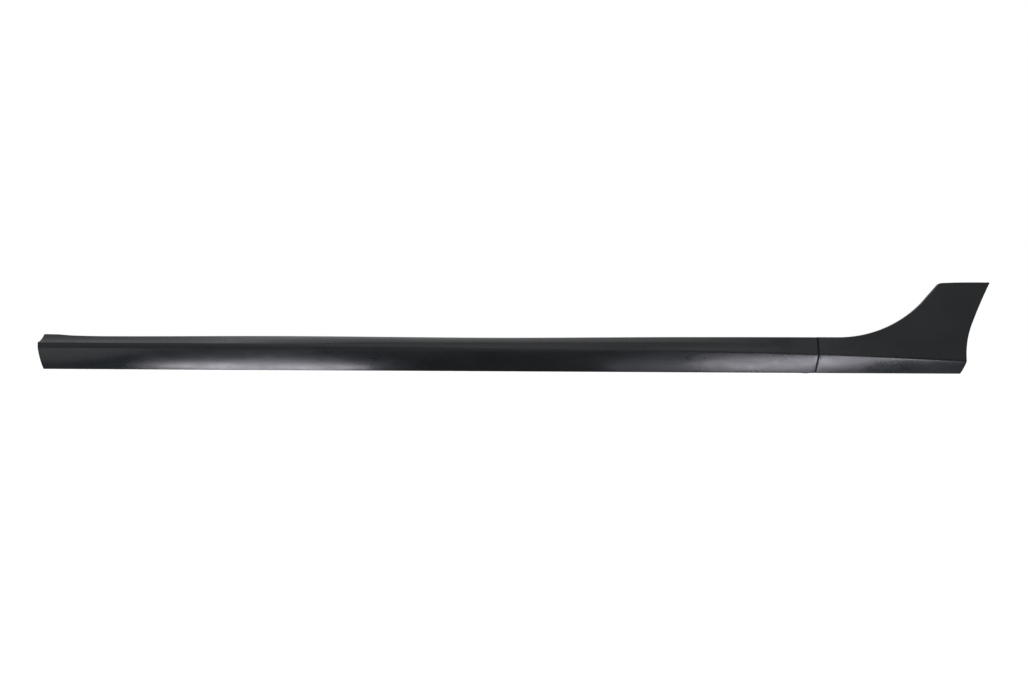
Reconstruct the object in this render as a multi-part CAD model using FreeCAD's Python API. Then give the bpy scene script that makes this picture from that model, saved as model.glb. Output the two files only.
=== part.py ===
"""Left-hand side skirt of a car: a long sill moulding and the moulding that turns
up in front of the rear wheel arch, with the clips, seals, screws and nuts that
hold them.

X runs towards the rear of the car, Y inboard, Z up. The origin is the middle of
the row of screw holes, on the underside of the bottom flange. In a section, a
point is given by how far it lies inboard of the nose line, and by its height.
"""
import FreeCAD, Part
import math
import os

# Places along the car
FRONT_END = -999.0
FACET_AT = -650.0
ROLL_AT = -240.0
FALL_FROM = 250.0
SEAM_AT = 681.0
REAR_END = 999.0
STATION_PITCH = 150.0

# Section of both mouldings
WALL = 3.0
NOSE_OUT = 71.0
FLANGE_IN = 18.0
FLANGE_LIP = 7.0
CORNER_IN = 41.0
CORNER_IN_REAR = 47.0
NOSE_HEIGHT = 47.0
NOSE_FALL = 19.2
CREASE_HEIGHT = 57.0
CREASE_IN = 0.6
EDGE_ROUND = 1.5
SOFT_CREASE = 4.6
SOFT_NOSE = 3.6
BAND_BULGE = 14.0
COVE_BULGE = -14.0
ROLL_BULGE = 23.0

# Upper edge of the sill moulding, from the front end to the seam
DIP_AT = -869.0
SWELL_AT = -450.0
MIDDLE_AT = -60.0
BEHIND_AT = 400.0
TOP_FRONT = 74.8
TOP_DIP = 72.4
TOP_SWELL = 74.7
TOP_MIDDLE = 73.5
TOP_BEHIND = 77.2
TOP_SEAM = 78.3
TOP_RETURN = 15.0
RETURN_DROP = 4.0
SHELF_DEPTH = 42.5
FACET_DEPTH = 32.0
ROLL_DEPTH = 19.0
FRONT_TAB_LENGTH = 30.0
FRONT_TAB_RISE = 1.2
END_WALL_IN = 62.0

# Rear arch moulding
SEAM_GAP = 2.4
LEAN_SEAM = 22.0
LEAN_SWEEP = 16.0
LEAN_REAR = 10.2
SWEEP_AT = 820.0
SWEEP_FROM = 727.0
SWEEP_RADIUS = 259.0
SWEEP_TURN = 43.2
UPSWEEP_RADIUS = 142.0
UPSWEEP_TURN = 4.7
FIN_FRONT_HEIGHT = 197.4
FIN_HEIGHT = 198.8
FIN_CROWN = 0.8
FIN_CORNER = 14.0
ARCH_FOOT = 35.0
ARCH_RADIUS = 185.0
ARCH_TURN = 23.0
ARCH_UPPER_RADIUS = 1100.0
EDGE_RETURN = 12.0
ARCH_LIP = 24.0
ARCH_LIP_LOW = 14.0
ARCH_LIP_HIGH = 182.0

# Lap joint behind the seam
LAP = 30.0
LAP_CLEARANCE = 0.3
JOGGLE = 4.0

# Ribs
RIB_THICKNESS = 2.0
RIB_REACH = 11.0
RIB_PITCH = 170.0
RIB_TOP = 66.0
FIRST_RIB = FRONT_END + 45.0
FIN_RIB_REACH = 7.5
FIN_RIB_PITCH = 72.0
FIN_BAR_HEIGHTS = (76.0, 118.0, 166.0)

# Screw holes
HOLE_PITCH = 280.0
HOLE_RADIUS = 3.3
FRONT_HOLE_IN = 40.0
FRONT_HOLE_LOW = 22.0
FRONT_HOLE_SPACING = 30.0

# Clips and the towers they slide into
CLIP_PITCH = 290.0
CLIP_FIRST = -870.0
CLIP_COUNT = 6
CLIP_HEIGHT = 44.0
TOWER_FACE = 52.0
FIN_TOWER_FACE = 42.0
TOWER_WIDTH = 30.0
TOWER_HEIGHT = 25.0
TOWER_PLATE = 2.5
CLIP_CLEARANCE = 0.2
CLIP_NECK = 6.0
CLIP_FOOT = 14.0
CLIP_FOOT_THICKNESS = 1.6
CLIP_COLLAR = 1.4
CLIP_PRONG = 17.0
CLIP_BARB = 9.6
CLIP_TIP = 2.4
CLIP_BARB_LAND = 2.0
SEAL_THICKNESS = 2.6
SEAL_SIDE = 15.0
FIN_CLIPS = ((846.0, 62.0), (990.0, 150.0))

# Splice screws
SCREW_RADIUS = 2.1
SCREW_CLEARANCE = 0.3
SCREW_BITE = 0.05
SCREW_HEAD_RADIUS = 4.6
SCREW_HEAD = 3.2
SCREW_LENGTH = 12.0
SCREW_PLACES = (58.0, 78.0)
BOSS_RADIUS = 4.5
BOSS_HEIGHT = 4.5

# Spring nuts on the wheel arch lip
NUT_HEIGHTS = (52.0, 104.0, 156.0)
NUT_SHEET = 0.8
NUT_LEG = 14.0
NUT_WIDTH = 12.0
NUT_FIT = 0.25
NUT_SPARE = 2.0
LIP_HOLE_RADIUS = 3.0
LIP_HOLE_IN = 15.0

# Rubber strip pushed over the inner edge of the upper return
STRIP_WALL = 1.2
STRIP_GRIP = 7.0
STRIP_LIP = 2.4
STRIP_FIT = 0.2

# How far cutters and hidden roots run past what they meet
SPARE = 1.0
MARGIN = 12.0

FLANGE_END = NOSE_OUT + FLANGE_IN
REARWARD = FreeCAD.Vector(1, 0, 0)
INBOARD = FreeCAD.Vector(0, 1, 0)
DOWN = FreeCAD.Vector(0, 0, -1)
UP = FreeCAD.Vector(0, 0, 1)


def spot(x, inboard, z):
    """Point of the frame at a place along the car, inboard of the nose and high."""
    return FreeCAD.Vector(x, inboard - NOSE_OUT, z)


def track(x, knots):
    """Smooth line along the car through (place, value) knots, with no overshoot."""
    xs = [k[0] for k in knots]
    ys = [k[1] for k in knots]
    if x <= xs[0]:
        return ys[0]
    if x >= xs[-1]:
        return ys[-1]
    rise = [(ys[i + 1] - ys[i]) / (xs[i + 1] - xs[i]) for i in range(len(xs) - 1)]
    slope = [0.0] * len(xs)
    for i in range(1, len(xs) - 1):
        if rise[i - 1] * rise[i] > 0:
            slope[i] = 2 * rise[i - 1] * rise[i] / (rise[i - 1] + rise[i])
    i = max(j for j in range(len(xs) - 1) if xs[j] <= x)
    span = xs[i + 1] - xs[i]
    t = (x - xs[i]) / span
    near = ys[i] * (1 + 2 * t) * (1 - t) ** 2 + slope[i] * span * t * (1 - t) ** 2
    far = ys[i + 1] * t * t * (3 - 2 * t) - slope[i + 1] * span * t * t * (1 - t)
    return near + far


def nose_height(x):
    """The nose line runs level and then falls faster and faster to the rear."""
    along = max(0.0, (x - FALL_FROM) / (REAR_END - FALL_FROM))
    return NOSE_HEIGHT - NOSE_FALL * along ** 2


def lean(x):
    """Lean of the rear moulding's face from upright, in radians."""
    knots = ((SEAM_AT, LEAN_SEAM), (SWEEP_AT, LEAN_SWEEP), (REAR_END, LEAN_REAR))
    return math.radians(track(x, knots))


def face_inboard(x, z):
    """How far inboard the rear moulding's face lies at a height."""
    return (z - nose_height(x)) * math.tan(lean(x))


def corner_inboard(x):
    """Where the undercut band meets the bottom flange."""
    return track(x, ((SEAM_AT, CORNER_IN), (REAR_END, CORNER_IN_REAR)))


def turned(direction, degrees):
    """A section direction turned anticlockwise."""
    a = math.radians(degrees)
    u, z = direction
    return (u * math.cos(a) - z * math.sin(a), u * math.sin(a) + z * math.cos(a))


def unit(a, b):
    """Direction from one section point to another."""
    du = b[0] - a[0]
    dz = b[1] - a[1]
    length = math.hypot(du, dz)
    return (du / length, dz / length)


def moved(point, direction, distance):
    """A section point moved along a direction."""
    return (point[0] + direction[0] * distance, point[1] + direction[1] * distance)


def inward(direction):
    """Inward normal of an outline that is walked from the top round the nose."""
    return (-direction[1], direction[0])


def sunk(outline, depth):
    """The outline moved inward: corners, trims beside them, and end directions."""
    corners, bulges, rounds = outline
    last = len(corners) - 1
    chords = [unit(corners[i], corners[i + 1]) for i in range(last)]
    starts = [turned(chord, -bulge) for chord, bulge in zip(chords, bulges)]
    ends = [turned(chord, bulge) for chord, bulge in zip(chords, bulges)]
    points = [moved(corners[0], inward(starts[0]), depth)]
    for i in range(1, last):
        a = inward(ends[i - 1])
        b = inward(starts[i])
        both = (a[0] + b[0], a[1] + b[1])
        points.append(moved(corners[i], both, depth / (1 + a[0] * b[0] + a[1] * b[1])))
    points.append(moved(corners[last], inward(ends[-1]), depth))
    trims = rounds if depth == 0 else [0.0] * len(corners)
    return points, trims, starts, ends


def curve(x, poles):
    """One curve of a section."""
    bezier = Part.BezierCurve()
    bezier.setPoles([spot(x, u, z) for u, z in poles])
    return bezier.toShape()


def outline_edges(x, outline, depth):
    """Curves of an outline at a depth, rounded at the corners on the outer face."""
    points, trims, starts, ends = sunk(outline, depth)
    edges = []
    for i in range(len(points) - 1):
        a = moved(points[i], starts[i], trims[i])
        b = moved(points[i + 1], ends[i], -trims[i + 1])
        handle = math.dist(a, b) / 3
        edges.append(curve(x, [a, moved(a, starts[i], handle), moved(b, ends[i], -handle), b]))
        if trims[i + 1] > 0:
            c = moved(points[i + 1], starts[i + 1], trims[i + 1])
            edges.append(curve(x, [b, points[i + 1], c]))
    return edges


def closed(front, corners):
    """Wire of a chain of edges and the straight lines back through the corners."""
    first = front[0].valueAt(front[0].FirstParameter)
    last = front[-1].valueAt(front[-1].LastParameter)
    points = [last] + corners + [first]
    lines = [Part.makeLine(points[i], points[i + 1]) for i in range(len(points) - 1)]
    return Part.Wire(front + lines)


def layer_wire(x, outline, outer, inner):
    """Closed section between two depths below the outer face."""
    front = outline_edges(x, outline, outer)
    back = outline_edges(x, outline, inner)
    back_first = back[0].valueAt(back[0].FirstParameter)
    back_last = back[-1].valueAt(back[-1].LastParameter)
    front_first = front[0].valueAt(front[0].FirstParameter)
    front_last = front[-1].valueAt(front[-1].LastParameter)
    caps = [Part.makeLine(front_last, back_last), Part.makeLine(back_first, front_first)]
    return Part.Wire(front + [caps[0]] + back[::-1] + [caps[1]])


def places(start, end):
    """Even section places from start to end."""
    count = max(2, round((end - start) / STATION_PITCH) + 1)
    return [start + (end - start) * i / (count - 1) for i in range(count)]


def layer(outline_at, start, end, outer, inner):
    """Solid between two depths below the outer face, from start to end."""
    wires = [layer_wire(x, outline_at(x), outer, inner) for x in places(start, end)]
    return Part.makeLoft(wires, True, False)


def inside(outline_at, start, end, depth):
    """Everything inboard of a depth below the outer face, up to the flange's end."""
    wires = []
    for x in places(start, end):
        front = outline_edges(x, outline_at(x), depth)
        high = front[0].valueAt(front[0].FirstParameter).z
        wires.append(closed(front, [spot(x, FLANGE_END, high)]))
    return Part.makeLoft(wires, True, False)


def top_edge(x):
    """The sill moulding's upper edge: how far inboard, and how high."""
    height = track(x, ((FRONT_END, TOP_FRONT), (DIP_AT, TOP_DIP), (SWELL_AT, TOP_SWELL),
                       (MIDDLE_AT, TOP_MIDDLE), (BEHIND_AT, TOP_BEHIND), (SEAM_AT, TOP_SEAM)))
    depth = track(x, ((FRONT_END, SHELF_DEPTH), (FACET_AT, FACET_DEPTH), (ROLL_AT, ROLL_DEPTH),
                      (SEAM_AT, face_inboard(SEAM_AT, TOP_SEAM))))
    return (depth, height)


def sill_outline(x):
    """The sill moulding's section, from its upper edge to the end of its flange."""
    crease_in = track(x, ((ROLL_AT, CREASE_IN), (SEAM_AT, face_inboard(SEAM_AT, CREASE_HEIGHT))))
    shoulder = track(x, ((FRONT_END, COVE_BULGE), (FACET_AT, 0), (ROLL_AT, ROLL_BULGE),
                         (0, ROLL_BULGE), (SEAM_AT, 0)))
    band = track(x, ((FRONT_END, BAND_BULGE), (0, BAND_BULGE / 2), (SEAM_AT, 0)))
    crease_round = track(x, ((FACET_AT, EDGE_ROUND), (ROLL_AT, SOFT_CREASE)))
    nose_round = track(x, ((FALL_FROM, SOFT_NOSE), (SEAM_AT, EDGE_ROUND)))
    corners = [top_edge(x), (crease_in, CREASE_HEIGHT), (0.0, nose_height(x)),
               (corner_inboard(x), 0.0), (FLANGE_END, 0.0)]
    return corners, [shoulder, 0, band, 0], [0, crease_round, nose_round, EDGE_ROUND, 0]


def fin_outline(x):
    """The rear moulding's section, carried on above the fin, to its flange's end."""
    above = FIN_HEIGHT + MARGIN
    corners = [(face_inboard(x, above), above), (0.0, nose_height(x)), (corner_inboard(x), 0.0),
               (FLANGE_END, 0.0)]
    return corners, [0, 0, 0], [0, EDGE_ROUND, EDGE_ROUND, 0]


def with_lip(outline):
    """The outline with the flange's end turned up."""
    corners, bulges, rounds = outline
    corners = corners + [(FLANGE_END, FLANGE_LIP)]
    return corners, bulges + [0], rounds[:-1] + [WALL + EDGE_ROUND, 0]


def sill_skin_outline(x):
    """The sill moulding's whole section: upper return, face, flange and lip."""
    corners, bulges, rounds = with_lip(sill_outline(x))
    depth, height = top_edge(x)
    corners = [(depth + TOP_RETURN, height - RETURN_DROP)] + corners
    return corners, [0] + bulges, [0, EDGE_ROUND] + rounds[1:]


def block(x0, x1, in0, in1, z0, z1):
    """Upright box between places along the car, inboard distances and heights."""
    return Part.makeBox(x1 - x0, in1 - in0, z1 - z0, spot(x0, in0, z0))


def bar(radius, length, place, direction):
    """Round bar from a place along a direction."""
    return Part.makeCylinder(radius, length, place, direction)


def many_sided(sides, radius, length, place, direction):
    """Prism with a number of sides from a place along a direction."""
    turn = FreeCAD.Rotation(UP, direction)
    corners = []
    for i in range(sides + 1):
        angle = 2 * math.pi * i / sides
        corner = FreeCAD.Vector(math.cos(angle), math.sin(angle), 0) * radius
        corners.append(place + turn.multVec(corner))
    return Part.Face(Part.makePolygon(corners)).extrude(direction * length)


def joined(shapes):
    """One solid from shapes that overlap."""
    return shapes[0].multiFuse(shapes[1:])


def cross_plates(first, last, pitch, top, skipped):
    """Evenly spaced upright plates, left out where something else stands."""
    count = int((last - first) / pitch)
    start = (first + last - count * pitch) / 2
    half = RIB_THICKNESS / 2
    reach = CORNER_IN + RIB_REACH
    plates = []
    for i in range(count + 1):
        x = start + i * pitch
        if all(abs(x - place) > clear for place, clear in skipped):
            plates.append(block(x - half, x + half, -MARGIN, reach, -SPARE, top))
    return plates


def hole_places(first, last):
    """Places of the row of screw holes, in pairs about the origin."""
    steps = [side * (i + 0.5) * HOLE_PITCH for i in range(4) for side in (-1, 1)]
    return [x for x in sorted(steps) if first < x < last]


def hole_cutters(first, last):
    """Cutters for the screw holes of one moulding's flange."""
    return [bar(HOLE_RADIUS, WALL * 3, FreeCAD.Vector(x, 0, WALL * 2), DOWN)
            for x in hole_places(first, last)]


def clip_places():
    """Places of the sill moulding's clips: along the car and in height."""
    return [(CLIP_FIRST + i * CLIP_PITCH, CLIP_HEIGHT) for i in range(CLIP_COUNT)]


def tower(x, z, face, solid_inside):
    """Box on the back of the skin with an open top, whose plate is slotted for a clip."""
    half = TOWER_WIDTH / 2
    low = z - TOWER_HEIGHT / 2
    high = z + TOWER_HEIGHT / 2
    back = face - TOWER_PLATE
    body = block(x - half, x + half, -MARGIN, face, low, high)
    room = block(x - half + RIB_THICKNESS, x + half - RIB_THICKNESS, -MARGIN, back,
                 low + RIB_THICKNESS, high + SPARE)
    slot = CLIP_NECK / 2 + CLIP_CLEARANCE
    way_in = block(x - slot, x + slot, back - SPARE, face + SPARE, z - slot, high + SPARE)
    return body.common(solid_inside).cut(joined([room, way_in]))


def end_wall(solid_inside):
    """Wall that closes the front end, with two holes for the wheel arch liner."""
    wall = block(FRONT_END, FRONT_END + WALL, -MARGIN, END_WALL_IN, 0, TOP_FRONT)
    ahead = FRONT_END - SPARE
    holes = [bar(HOLE_RADIUS, WALL + 2 * SPARE, spot(ahead, FRONT_HOLE_IN, FRONT_HOLE_LOW + rise),
                 REARWARD) for rise in (0, FRONT_HOLE_SPACING)]
    return wall.common(solid_inside).cut(joined(holes))


def front_tab():
    """Low pad on the front end of the upper edge, against the wing."""
    depth, height = top_edge(FRONT_END)
    return block(FRONT_END, FRONT_END + FRONT_TAB_LENGTH, depth + EDGE_ROUND,
                 depth + TOP_RETURN - STRIP_GRIP, height - WALL, height + FRONT_TAB_RISE)


def sill_moulding():
    """Long thin-walled moulding with its end wall, ribs, clip towers and holes."""
    end = SEAM_AT - SEAM_GAP / 2
    rib_end = end - LAP - WALL
    skin = layer(sill_skin_outline, FRONT_END, end, 0, WALL)
    rib_zone = layer(sill_outline, FRONT_END, rib_end, WALL / 2, RIB_REACH)
    solid_inside = inside(sill_outline, FRONT_END, rib_end, WALL / 2)
    beside_tower = TOWER_WIDTH / 2 + RIB_THICKNESS * 2
    skipped = [(x, beside_tower) for x, z in clip_places()]
    skipped += [(x, HOLE_RADIUS * 2) for x in hole_places(FRONT_END, end)]
    plates = Part.Compound(cross_plates(FIRST_RIB, rib_end, RIB_PITCH, RIB_TOP, skipped))
    ribs = rib_zone.common(plates).Solids
    towers = [tower(x, z, TOWER_FACE, solid_inside) for x, z in clip_places()]
    body = joined([skin, end_wall(solid_inside), front_tab()] + ribs + towers)
    cutters = hole_cutters(FRONT_END, end)
    cutters += [bar(SCREW_RADIUS + SCREW_CLEARANCE, WALL + 2 * SPARE, screw, UP)
                for screw in screw_places(-SPARE)]
    return body.cut(joined(cutters))


def corner_points(before, corner, after, radius):
    """Start, middle and end of the arc that rounds a corner of the fin."""
    a = unit(corner, before)
    b = unit(corner, after)
    half = math.acos(a[0] * b[0] + a[1] * b[1]) / 2
    trim = radius / math.tan(half)
    middle = unit((0, 0), (a[0] + b[0], a[1] + b[1]))
    reach = radius / math.sin(half) - radius
    return moved(corner, a, trim), moved(corner, middle, reach), moved(corner, b, trim)


def arch_edge(z):
    """The wheel arch edge at a height: place along the car and angle from upright."""
    turn = math.radians(ARCH_TURN)
    knee = arch_knee()
    if z <= knee:
        angle = math.asin(max(0.0, z - ARCH_FOOT) / ARCH_RADIUS)
        return REAR_END + ARCH_RADIUS * (1 - math.cos(angle)), angle
    angle = math.asin(math.sin(turn) + (z - knee) / ARCH_UPPER_RADIUS)
    x = REAR_END + ARCH_RADIUS * (1 - math.cos(turn))
    return x + ARCH_UPPER_RADIUS * (math.cos(turn) - math.cos(angle)), angle


def arch_knee():
    """Height where the arch edge's lower curve gives way to its upper one."""
    return ARCH_FOOT + ARCH_RADIUS * math.sin(math.radians(ARCH_TURN))


def arch_point(z, inset):
    """Side-view point beside the wheel arch edge."""
    x, angle = arch_edge(z)
    return moved((x, z), (-math.cos(angle), math.sin(angle)), inset)


def sweep_point(degrees, inset):
    """Side-view point beside the fin's leading edge, where it has turned by an angle."""
    angle = math.radians(degrees)
    turn = math.radians(min(degrees, SWEEP_TURN))
    x = SWEEP_FROM + SWEEP_RADIUS * math.sin(turn)
    z = TOP_SEAM + SWEEP_RADIUS * (1 - math.cos(turn))
    x += UPSWEEP_RADIUS * (math.sin(angle) - math.sin(turn))
    z += UPSWEEP_RADIUS * (math.cos(turn) - math.cos(angle))
    return moved((x, z), (math.sin(angle), -math.cos(angle)), inset)


def fin_prism(inset):
    """Everything inside the rear moulding's side view, or inset from its edges."""
    left = SEAM_AT - LAP - MARGIN
    steepest = SWEEP_TURN + UPSWEEP_TURN
    bend = sweep_point(steepest, inset)
    front_height = FIN_FRONT_HEIGHT - inset
    peak = (bend[0] + (front_height - bend[1]) / math.tan(math.radians(steepest)), front_height)
    tip_angle = arch_edge(FIN_HEIGHT)[1]
    tip = arch_point(FIN_HEIGHT - inset * (1 + math.sin(tip_angle)), inset)
    round_start, round_middle, round_end = corner_points(bend, peak, tip, FIN_CORNER - inset)
    crown = ((round_end[0] + tip[0]) / 2, (round_end[1] + tip[1]) / 2 + FIN_CROWN)
    knee = arch_point(arch_knee(), inset)
    upper = arch_point((arch_knee() + FIN_HEIGHT) / 2, inset)
    lower = arch_point((arch_knee() + ARCH_FOOT) / 2, inset)
    foot = arch_point(ARCH_FOOT, inset)
    sweep = [sweep_point(SWEEP_TURN * i / 2, inset) for i in range(3)]
    upsweep = sweep_point(SWEEP_TURN + UPSWEEP_TURN / 2, inset)
    low_front = (left, -MARGIN)
    high_front = (left, sweep[0][1])
    low_rear = (foot[0], -MARGIN)

    def flat(point):
        return FreeCAD.Vector(point[0], -NOSE_OUT - MARGIN, point[1])

    def line(a, b):
        return Part.makeLine(flat(a), flat(b))

    def arc(a, b, c):
        return Part.Arc(flat(a), flat(b), flat(c)).toShape()

    wire = Part.Wire([
        line(low_front, high_front), line(high_front, sweep[0]), arc(*sweep),
        arc(sweep[2], upsweep, bend), line(bend, round_start),
        arc(round_start, round_middle, round_end), arc(round_end, crown, tip),
        arc(tip, upper, knee), arc(knee, lower, foot), line(foot, low_rear),
        line(low_rear, low_front),
    ])
    return Part.Face(wire).extrude(INBOARD * (FLANGE_END + 2 * MARGIN))


def fin_inner_outline(x):
    """The rear moulding's section with the flange shortened by the wall of its lip."""
    corners, bulges, rounds = fin_outline(x)
    return corners[:-1] + [(FLANGE_END - WALL, 0.0)], bulges, rounds


def arch_lip(start, end):
    """Deeper return along the wheel arch, drilled for the liner's screws."""
    zone = layer(fin_outline, start, end, WALL / 2, ARCH_LIP)
    strip = fin_prism(0).cut(fin_prism(WALL))
    stretch = block(REAR_END - ARCH_LIP, end, -MARGIN, FLANGE_END, ARCH_LIP_LOW, ARCH_LIP_HIGH)
    lip = zone.common(strip).common(stretch)
    holes = [bar(LIP_HOLE_RADIUS, WALL * 4, place - normal * WALL * 2, normal)
             for place, normal, along in lip_frames()]
    return lip.cut(joined(holes))


def lip_frames():
    """Middle of each hole in the arch lip, the lip's normal and its run."""
    frames = []
    for z in NUT_HEIGHTS:
        x, angle = arch_edge(z)
        normal = FreeCAD.Vector(math.cos(angle), 0, -math.sin(angle))
        along = FreeCAD.Vector(math.sin(angle), 0, math.cos(angle))
        place = spot(x, face_inboard(x, z) + LIP_HOLE_IN, z) - normal * (WALL / 2)
        frames.append((place, normal, along))
    return frames


def screw_places(z):
    """Places of the splice screws at a height."""
    x = SEAM_AT - SEAM_GAP / 2 - LAP / 2
    return [spot(x, inboard, z) for inboard in SCREW_PLACES]


def tongue(start):
    """Joggled tongue that reaches behind the sill moulding, with its screw bosses."""
    depth = WALL + LAP_CLEARANCE
    sheet = layer(sill_outline, SEAM_AT - LAP, start + JOGGLE, depth, depth + WALL)
    ahead = SEAM_AT - LAP - SPARE
    above = block(ahead, start, -MARGIN, FLANGE_END + MARGIN, TOP_SEAM - 3 * WALL, FIN_HEIGHT)
    beside = block(ahead, start, FLANGE_END - depth, FLANGE_END + MARGIN, -SPARE, FIN_HEIGHT)
    step = layer(sill_outline, start, start + JOGGLE, WALL / 2, depth + WALL / 2)
    bosses = [many_sided(8, BOSS_RADIUS, BOSS_HEIGHT + SPARE, screw, UP)
              for screw in screw_places(depth + WALL - SPARE)]
    sheet = sheet.cut(joined([above, beside]))
    return joined([sheet, step] + bosses)


def rear_arch_moulding():
    """Thin-walled moulding that sweeps up into the fin in front of the wheel arch."""
    start = SEAM_AT + SEAM_GAP / 2
    end = arch_edge(FIN_HEIGHT)[0] + MARGIN
    full = layer(fin_outline, start, end, 0, EDGE_RETURN)
    hollow = layer(fin_inner_outline, start - SPARE, end, WALL, EDGE_RETURN + SPARE)
    outer_prism = fin_prism(0)
    inner_prism = fin_prism(WALL)
    dish = full.common(outer_prism).cut(hollow.common(inner_prism))
    above_lip = block(start - SPARE, REAR_END - WALL, FLANGE_END - WALL - SPARE,
                      FLANGE_END + SPARE, FLANGE_LIP, EDGE_RETURN + SPARE)
    dish = dish.cut(above_lip)
    rib_zone = layer(fin_outline, start, end, WALL / 2, FIN_RIB_REACH).common(fin_prism(WALL / 2))
    skipped = [(x, TOWER_WIDTH / 2 + RIB_THICKNESS) for x, z in FIN_CLIPS]
    plates = cross_plates(start + LAP, end - LAP, FIN_RIB_PITCH, FIN_HEIGHT, skipped)
    half = RIB_THICKNESS / 2
    bars = [block(start + JOGGLE, end, -MARGIN, FLANGE_END, z - half, z + half) for z in FIN_BAR_HEIGHTS]
    ribs = rib_zone.common(joined(plates + bars)).Solids
    solid_inside = inside(fin_outline, start, end, WALL / 2)
    towers = [tower(x, z, FIN_TOWER_FACE, solid_inside) for x, z in FIN_CLIPS]
    body = joined([dish, arch_lip(start, end), tongue(start)] + ribs + towers)
    cutters = hole_cutters(start, REAR_END)
    cutters += [bar(SCREW_RADIUS + SCREW_BITE, SCREW_LENGTH, screw, UP) for screw in screw_places(0)]
    return body.cut(joined(cutters))


def clip(x, z, face):
    """Push-in clip: foot behind the tower's plate, neck, collar and arrow-shaped prong."""
    foot = face - TOWER_PLATE - CLIP_CLEARANCE
    collar = face + CLIP_CLEARANCE
    prong = collar + CLIP_COLLAR
    tip = prong + CLIP_PRONG
    shoulder = prong + SEAL_THICKNESS + CLIP_CLEARANCE
    widest = shoulder + CLIP_BARB_LAND

    def slab(wide, high, start, end):
        return block(x - wide / 2, x + wide / 2, start, end, z - high / 2, z + high / 2)

    profile = [(-CLIP_NECK / 2, prong), (-CLIP_NECK / 2, shoulder), (-CLIP_BARB / 2, shoulder),
               (-CLIP_BARB / 2, widest), (-CLIP_TIP / 2, tip), (CLIP_TIP / 2, tip),
               (CLIP_BARB / 2, widest), (CLIP_BARB / 2, shoulder), (CLIP_NECK / 2, shoulder),
               (CLIP_NECK / 2, prong)]
    points = [spot(x + along, inboard, z - CLIP_NECK / 2) for along, inboard in profile]
    arrow = Part.Face(Part.makePolygon(points + [points[0]])).extrude(UP * CLIP_NECK)
    parts = [slab(CLIP_FOOT, CLIP_FOOT, foot - CLIP_FOOT_THICKNESS, foot),
             slab(CLIP_NECK, CLIP_NECK, foot, collar),
             slab(CLIP_FOOT, CLIP_FOOT, collar, prong), arrow]
    return joined(parts).removeSplitter()


def all_clips():
    """Every clip's place and the face of its tower."""
    sill = [(x, z, TOWER_FACE) for x, z in clip_places()]
    return sill, [(x, z, FIN_TOWER_FACE) for x, z in FIN_CLIPS]


def clip_seal(x, z, face):
    """Square of foam rubber on a clip's prong, against its collar."""
    start = face + CLIP_CLEARANCE + CLIP_COLLAR
    half = SEAL_SIDE / 2
    hole = CLIP_NECK / 2 + CLIP_CLEARANCE
    pad = block(x - half, x + half, start, start + SEAL_THICKNESS, z - half, z + half)
    return pad.cut(block(x - hole, x + hole, start - SPARE, start + SEAL_THICKNESS + SPARE,
                         z - hole, z + hole))


def splice_screw(place):
    """Hexagon-head tapping screw, driven up from below through the lap."""
    head = many_sided(6, SCREW_HEAD_RADIUS, SCREW_HEAD, place, DOWN)
    return joined([head, bar(SCREW_RADIUS, SCREW_LENGTH, place, UP)]).removeSplitter()


def spring_nut(place, normal, along):
    """Folded sheet nut that grips the arch lip on both sides of a hole."""
    half = WALL / 2 + NUT_FIT
    front = NUT_LEG / 2
    back = ARCH_LIP - LIP_HOLE_IN + NUT_SPARE
    outer = Part.makeBox(2 * (half + NUT_SHEET), front + back + NUT_SHEET, NUT_WIDTH,
                         FreeCAD.Vector(-half - NUT_SHEET, -front, -NUT_WIDTH / 2))
    room = Part.makeBox(2 * half, front + back + SPARE, NUT_WIDTH + 2 * SPARE,
                        FreeCAD.Vector(-half, -front - SPARE, -NUT_WIDTH / 2 - SPARE))
    bore = many_sided(8, SCREW_RADIUS, 4 * WALL, FreeCAD.Vector(-2 * WALL, 0, 0), REARWARD)
    nut = outer.cut(room).cut(bore)
    turn = FreeCAD.Rotation(normal, INBOARD, along, "XYZ")
    nut.Placement = FreeCAD.Placement(place, turn)
    return nut


def strip_wire(x):
    """Section of the rubber strip round the inner edge of the upper return."""
    depth, height = top_edge(x)
    corner = (depth + TOP_RETURN, height - RETURN_DROP)
    away = unit((depth, height), corner)
    above = (-away[1], away[0])
    reach = STRIP_FIT + STRIP_WALL
    below = -WALL - STRIP_FIT
    shape = [(-STRIP_GRIP, STRIP_FIT), (-STRIP_GRIP, reach), (STRIP_FIT, reach),
             (reach + STRIP_LIP, reach + STRIP_LIP), (reach, STRIP_FIT), (reach, below - STRIP_WALL),
             (-STRIP_GRIP, below - STRIP_WALL), (-STRIP_GRIP, below), (STRIP_FIT, below),
             (STRIP_FIT, STRIP_FIT)]
    points = [spot(x, *moved(moved(corner, away, s), above, h)) for s, h in shape]
    return Part.makePolygon(points + [points[0]])


def top_edge_strip():
    """Rubber strip that seals the upper edge against the body."""
    end = SEAM_AT - SEAM_GAP / 2
    whole = Part.makeLoft([strip_wire(x) for x in places(FRONT_END, end)], True, False)
    start = FRONT_END + FRONT_TAB_LENGTH + WALL
    return whole.common(block(start, end - WALL, -MARGIN, FLANGE_END, 0, FIN_HEIGHT))


def write(node, shape):
    """Save one node after a look at its soundness."""
    if not shape.isValid() or shape.Volume <= 0:
        raise ValueError(node + " isn't a sound solid")
    shape.exportStep("parts/" + node + ".step")


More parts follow.
